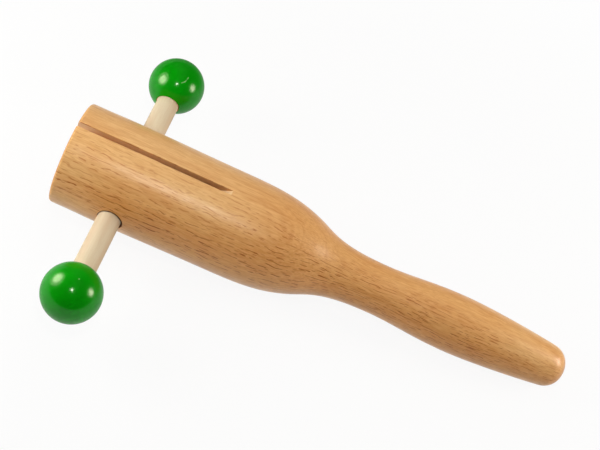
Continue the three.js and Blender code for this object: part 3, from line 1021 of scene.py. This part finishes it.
def green_lacquer():
    """Green gloss lacquer over wood, bare at the lip of the hole and scuffed in a few places, where the
    scuffs are painted pale as glints.
    """
    nodes = Nodes("green_lacquer")
    place = nodes.vector("SUBTRACT", nodes.object_place(), axle_middle)
    cloud = nodes.ramp(nodes.noise(place, *CLOUD), *CLOUD_SHARES)
    colour = nodes.mix(cloud, GREEN, GREEN_DEEP)
    from_axis = nodes.vector("LENGTH", nodes.vector("MULTIPLY", place, (1, 0, 1)))
    along = nodes.maths("ABSOLUTE", nodes.parts(place)[1])
    lip = axle_radius + BALL_HOLE_CLEARANCE + BALL_HOLE_LIP * LIP_SHARE
    bare = nodes.times(
        nodes.inside(from_axis, lip, LIP_FADE),
        nodes.maths("LESS_THAN", along, ball_reach),
    )
    colour = nodes.mix(bare, colour, BARE_LIP)
    worn = nodes.ramp(nodes.noise(place, *WORN), *WORN_SHARES)
    # The scuffs are painted pale, as the glints that they catch.
    for side, start, end in SCUFFS:
        colour = nodes.mix(nodes.times(scuff(nodes, place, side, start, end), worn), colour, SCUFF_GLINT)
    peel = nodes.noise(place, *PEEL)
    inputs = {
        "Base Color": colour,
        "Roughness": nodes.ramp(peel, *PEEL_SHARES),
        "Specular IOR Level": 0.08,
        "Specular Tint": GREEN_TINT,
        "Coat Weight": 0.26,
        "Coat Roughness": 0.16,
        "Coat IOR": 1.8,
    }
    return nodes.finish(inputs, peel, PEEL_RELIEF)


def plain_wood(name, centre, turn, colours):
    """Unvarnished wood for the works in the bore. turn is the grain's turn about Z."""
    pale, warm, fleck = colours
    nodes = Nodes(name)
    place = grain_place(nodes, centre, (0.0, 0.0, turn))
    drift = nodes.ramp(grain_noise(nodes, place, PLAIN_DRIFT), *PLAIN_DRIFT_SHARES)
    fibre = grain_noise(nodes, place, PLAIN_FIBRE)
    colour = nodes.mix(drift, pale, warm)
    colour = nodes.mix(nodes.ramp(fibre, *PLAIN_FIBRE_SHARES), colour, warm)
    dashes = nodes.times(flecks(nodes, place, PLAIN_FLECK_SHARES), PLAIN_FLECK_SHARE)
    colour = nodes.mix(dashes, colour, fleck)
    inputs = {"Base Color": colour, "Roughness": 0.62, "Specular IOR Level": 0.3}
    return nodes.finish(inputs, fibre, PLAIN_RELIEF)


# The stage, the lights and the camera.


def floor_white():
    """White to the camera but for the object's shadow, and dimmer on its far side where a gloss shows it."""
    nodes = Nodes("floor_white")
    place = nodes.object_place()
    path = nodes.add("LightPath").outputs
    matte = nodes.add("BsdfDiffuse", {"Color": FLOOR_GREY}).outputs[0]
    dimmed = nodes.times(nodes.ramp(nodes.parts(place)[1], *FLOOR_DIM_SHARES), path["Is Glossy Ray"])
    strength = nodes.maths("SUBTRACT", 1.0, dimmed)
    glow = nodes.add("Emission", {"Color": WHITE, "Strength": strength}).outputs[0]
    seen = nodes.most(path["Is Camera Ray"], path["Is Glossy Ray"], path["Is Transmission Ray"])
    share = nodes.times(seen, nodes.ramp(nodes.vector("LENGTH", place), *FLOOR_WHITE_SHARES))
    both = nodes.add("MixShader", {0: share, 1: matte, 2: glow}).outputs[0]
    nodes.add("OutputMaterial", {"Surface": both})
    return nodes.owner


def make_floor():
    """A plain pale floor that the head and the handle lie on."""
    normal = Vector((-math.sin(FLOOR_PITCH), 0, math.cos(FLOOR_PITCH)))
    lowest = min(normal.dot(v.co) for v in frame["nodes"]["turned_body"].data.vertices)
    flat = normal.to_track_quat("Z", "Y").to_matrix()
    verts = []
    for side in range(FLOOR_SIDES):
        turn = 2 * math.pi * side / FLOOR_SIDES
        corner = FLOOR_RADIUS * Vector((math.cos(turn), math.sin(turn), 0))
        verts.append(normal * lowest + flat @ corner)
    floor = mesh_object("floor", verts, [list(range(FLOOR_SIDES))])
    floor.data.materials.append(floor_white())


def make_world():
    """A dim surround that lights the object, white to the camera, and white low down in a gloss."""
    world = bpy.data.worlds.new("surround")
    bpy.context.scene.world = world
    nodes = Nodes(world)
    rise = nodes.parts(nodes.add("TexCoord").outputs["Generated"])[2]
    overhead = nodes.ramp(rise, *OVERHEAD_SHARES)
    walls = nodes.times(nodes.maths("SUBTRACT", 1.0, overhead), WALL_LIGHT)
    strength = nodes.plus(walls, nodes.times(overhead, CEILING_LIGHT))
    light = nodes.add("Background", {"Color": WHITE, "Strength": strength}).outputs[0]
    path = nodes.add("LightPath").outputs
    shown = nodes.most(nodes.ramp(rise, *GLOSS_RISE_SHARES), path["Is Camera Ray"])
    white = nodes.add("Background", {"Color": WHITE, "Strength": shown}).outputs[0]
    seen = nodes.most(path["Is Glossy Ray"], path["Is Transmission Ray"], path["Is Camera Ray"])
    both = nodes.add("MixShader", {0: seen, 1: light, 2: white}).outputs[0]
    nodes.add("OutputWorld", {"Surface": both})


def make_lamp(name, place, target, width, power, colour, lights):
    """A round soft lamp at a place, turned to a target."""
    data = bpy.data.lights.new(name, "AREA")
    data.shape = "DISK"
    data.size = width
    data.energy = power
    data.color = colour
    lamp = new_object(name, data)
    lamp.location = place
    lamp.rotation_mode = "QUATERNION"
    lamp.rotation_quaternion = (Vector(target) - Vector(place)).to_track_quat("-Z", "Y")
    lamp.visible_camera = False
    lamp.visible_glossy = lights != "matte"
    lamp.visible_diffuse = lights == "matte"
    return lamp


def make_lamps(axle_pieces):
    """All the lamps. Those for the axle's gloss reach its own pieces, and leave the head's top alone."""
    reached = bpy.data.collections.new("axle_pieces")
    for piece in axle_pieces:
        reached.objects.link(piece)
    for row in LAMPS:
        lamp = make_lamp(*row)
        if row[-1] == "axle gloss":
            lamp.light_linking.receiver_collection = reached


def make_camera():
    """The camera, turned and rolled as the photograph's was."""
    ahead = Vector((
        -math.sin(CAMERA_AZIMUTH) * math.cos(CAMERA_ELEVATION),
        math.cos(CAMERA_AZIMUTH) * math.cos(CAMERA_ELEVATION),
        -math.sin(CAMERA_ELEVATION),
    ))
    level = Vector((math.cos(CAMERA_AZIMUTH), math.sin(CAMERA_AZIMUTH), 0))
    upright = level.cross(ahead)
    right = level * math.cos(CAMERA_ROLL) + upright * math.sin(CAMERA_ROLL)
    up = upright * math.cos(CAMERA_ROLL) - level * math.sin(CAMERA_ROLL)
    aim = Vector((mouth_x + AIM_FROM_MOUTH, axis_y, axis_z))
    place = aim - ahead * CAMERA_DISTANCE + right * AIM_RIGHT + up * AIM_UP
    data = bpy.data.cameras.new("camera")
    data.lens = CAMERA_LENS
    data.sensor_width = SENSOR_WIDTH
    camera = new_object("camera", data)
    turned = Matrix((right, up, -ahead)).transposed().to_4x4()
    camera.matrix_world = Matrix.Translation(place) @ turned
    bpy.context.scene.camera = camera


# The pieces that show.

beech_body = make_body()
dress(beech_body, varnished_beech(), "body", "turned_body")
dowel = make_axle()
dress(dowel, pale_dowel(), "axle_assembly", "axle")
lacquer = green_lacquer()
near_ball = make_ball("near_ball_lacquered", -1)
dress(near_ball, lacquer, "axle_assembly", "near_ball")
far_ball = make_ball("far_ball_lacquered", 1)
dress(far_ball, lacquer, "axle_assembly", "far_ball")

# The works in the bore. Each row holds a node, its body, its material, its slot and how wide its edges ease.

plain_beech = plain_wood("plain_beech", axle_middle, QUARTER_TURN, PLAIN_BEECH)
peg_wood = plain_wood("peg_wood", axle_middle, 0.0, PEG_WOOD)
slat_wood = plain_wood("spring_slat", body_middle, 0.0, SLAT_WOOD)
works = (
    ("cog_wheel", "axle_assembly", plain_beech, "plain_beech", COG_EDGE),
    ("cog_pin", "axle_assembly", peg_wood, "peg_wood", PIN_EDGE),
    ("tongue", "body", slat_wood, "spring_slat", SLAT_EDGE),
    ("tongue_block", "body", plain_beech, "plain_beech", BLOCK_EDGE),
    ("tongue_wedge", "body", peg_wood, "peg_wood", SLAT_EDGE),
)
for node, body, material, slot, width in works:
    dress(eased_copy(node + "_eased", node, width), material, body, node)

make_floor()
make_world()
make_lamps((near_ball, far_ball, dowel))
make_camera()
bpy.context.scene.view_settings.view_transform = "Standard"
